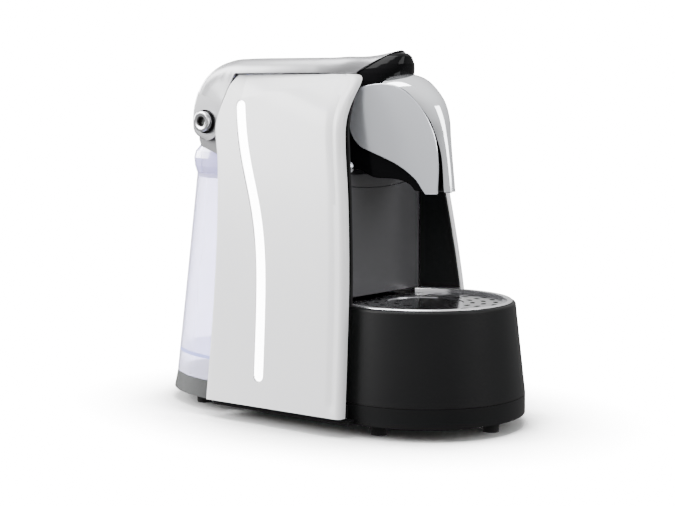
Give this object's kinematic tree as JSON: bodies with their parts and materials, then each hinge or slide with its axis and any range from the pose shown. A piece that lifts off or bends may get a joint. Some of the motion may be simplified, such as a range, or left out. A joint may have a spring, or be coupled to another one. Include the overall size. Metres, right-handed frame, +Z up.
{
  "type": "pod coffee machine",
  "caption": "Compact pod coffee machine with splayed white side panels, a lever arm, a chrome beaked brew head, a round drip tray and a clear rear water tank.",
  "frame": {"origin": "centre of the bounding box, on the floor under the feet", "axes": "+Z up, -Y towards the user in front of the drip tray, +X to the right as seen from the front"},
  "size_m": [0.1882, 0.3252, 0.29],
  "materials": {
    "white_gloss": "satin gloss white",
    "black_gloss": "high gloss black",
    "black_satin": "satin black",
    "grey_gloss": "glossy dark grey",
    "silver_paint": "satin silver",
    "chrome": "mirror polished",
    "polished_steel": "polished stainless",
    "steel": "machined",
    "tank_clear": "clear plastic with a lavender tint",
    "rubber_black": "matt",
    "plinth_grey": "satin dark grey",
    "bracket_grey": "satin grey",
    "inner_plastic": "moulded",
    "aluminium": "cast",
    "board_green": "solder mask",
    "hose_clear": "silicone"
  },
  "bodies": {
    "chassis": {"base_plate": "black_satin", "feet": "rubber_black", "rear_plinth": "plinth_grey", "rear_feet": "rubber_black", "left_panel": "white_gloss", "right_panel": "white_gloss", "left_liner": "black_satin", "right_liner": "black_satin", "backsplash_lower": "grey_gloss", "backsplash_upper": "grey_gloss", "rear_wall": "black_satin", "top_deck": "black_satin", "head_housing": "black_gloss", "head_hood": "chrome", "left_cheek": "chrome", "right_cheek": "chrome", "coffee_spout": "black_satin", "head_bolts": "polished_steel", "brew_chamber": "inner_plastic", "piercing_plate": "steel", "piston_guide": "inner_plastic", "guide_rails": "inner_plastic", "capsule_chute": "inner_plastic", "left_bracket": "bracket_grey", "right_bracket": "bracket_grey", "pivot_shaft": "steel", "pivot_washers": "black_gloss", "pivot_bolts": "polished_steel", "inlet_socket": "inner_plastic", "inlet_hose": "hose_clear", "flow_meter": "inner_plastic", "pump": "inner_plastic", "pump_mounts": "rubber_black", "boiler": "aluminium", "control_board": "board_green", "cable_gland": "rubber_black", "wall_screws": "steel", "base_screws": "steel"},
    "lever": {"arm_cover": "silver_paint", "lever_frame": "steel", "lever_grip": "black_gloss", "button_carrier": "inner_plastic"},
    "button_short": {"button_short": "black_gloss"},
    "button_power": {"button_power": "black_gloss"},
    "button_long": {"button_long": "black_gloss"},
    "piston": {"brew_piston": "inner_plastic"},
    "tray": {"drip_tray": "black_satin", "capsule_bin": "plinth_grey"},
    "grid": {"drip_grid": "polished_steel", "grid_rim": "polished_steel"},
    "tank": {"water_tank": "tank_clear", "tank_lid": "tank_clear", "tank_outlet": "inner_plastic"},
    "filler_flap": {"tank_flap": "tank_clear"},
    "poppet": {"valve_poppet": "inner_plastic"}
  },
  "joints": [
    {"name": "lever_lift", "type": "hinge", "parent": "chassis", "child": "lever", "pos_m": [0, 0.088, 0.2337], "axis": [-1, 0, 0], "range_deg": [0, 65]},
    {"name": "piston_slide", "type": "slide", "parent": "chassis", "child": "piston", "axis": [0, 1, 0], "range_m": [0, 0.0101]},
    {"name": "tray_slide", "type": "slide", "parent": "chassis", "child": "tray", "axis": [0, -1, 0], "range_m": [0, 0.12]},
    {"name": "grid_lift", "type": "slide", "parent": "tray", "child": "grid", "axis": [0, 0, 1], "range_m": [0, 0.05]},
    {"name": "tank_slide", "type": "slide", "parent": "chassis", "child": "tank", "axis": [0, 1, 0], "range_m": [0, 0.11]},
    {"name": "flap_hinge", "type": "hinge", "parent": "tank", "child": "filler_flap", "pos_m": [0, 0.10985, 0.217], "axis": [1, 0, 0], "range_deg": [0, 85]},
    {"name": "poppet_slide", "type": "slide", "parent": "tank", "child": "poppet", "axis": [0, 1, 0], "range_m": [0, 0.002], "stiffness_N_per_m": 60, "springref_m": -0.002},
    {"name": "button_short_press", "type": "slide", "parent": "lever", "child": "button_short", "axis": [0, 0, -1], "range_m": [0, 0.0012], "stiffness_N_per_m": 400, "springref_m": -0.0008},
    {"name": "button_power_press", "type": "slide", "parent": "lever", "child": "button_power", "axis": [0, 0, -1], "range_m": [0, 0.0012], "stiffness_N_per_m": 400, "springref_m": -0.0008},
    {"name": "button_long_press", "type": "slide", "parent": "lever", "child": "button_long", "axis": [0, 0, -1], "range_m": [0, 0.0012], "stiffness_N_per_m": 400, "springref_m": -0.0008}
  ],
  "couplings": [
    {"joint": "piston_slide", "follows": "lever_lift", "m_per_rad": 0.0088}
  ]
}
